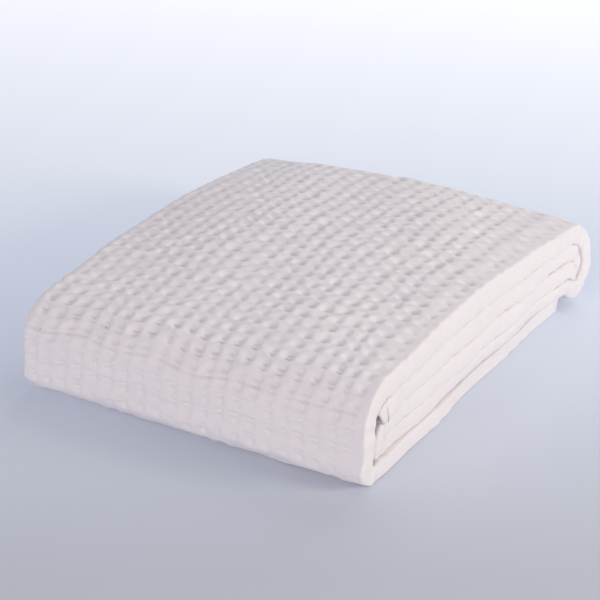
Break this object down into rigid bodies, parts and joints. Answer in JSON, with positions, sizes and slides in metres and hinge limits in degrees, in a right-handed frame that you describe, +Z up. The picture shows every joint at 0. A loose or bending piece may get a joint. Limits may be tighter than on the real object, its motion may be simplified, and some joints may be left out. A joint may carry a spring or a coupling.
{
  "type": "folded throw blanket",
  "caption": "Soft waffle-textured cotton throw, folded across its width and then rolled along its length into a thick flat pile that lies on a shelf, bed or sofa",
  "frame": {"origin": "on the floor plane, under the middle of the pile's bounding box", "axes": "+Z up; -Y the front, where one fold wraps the whole height; +X the end where every ply shows a round double fold; -X the end with the side hems"},
  "size_m": [0.35, 0.4296, 0.1053],
  "materials": {
    "cotton_cloth": "matt off-white cotton with a square puffed waffle texture",
    "hem_cloth": "matt off-white cotton, turned over twice and stitched flat"
  },
  "bodies": {
    "root": {"bottom_ply": "cotton_cloth", "lower_ply": "cotton_cloth", "middle_ply": "cotton_cloth", "loose_ply": "cotton_cloth", "top_ply": "cotton_cloth", "inner_front_fold": "cotton_cloth", "outer_front_fold": "cotton_cloth", "inner_back_fold": "cotton_cloth", "outer_back_fold": "cotton_cloth", "loose_end_hem": "hem_cloth", "bottom_end_hem": "hem_cloth"}
  },
  "joints": []
}
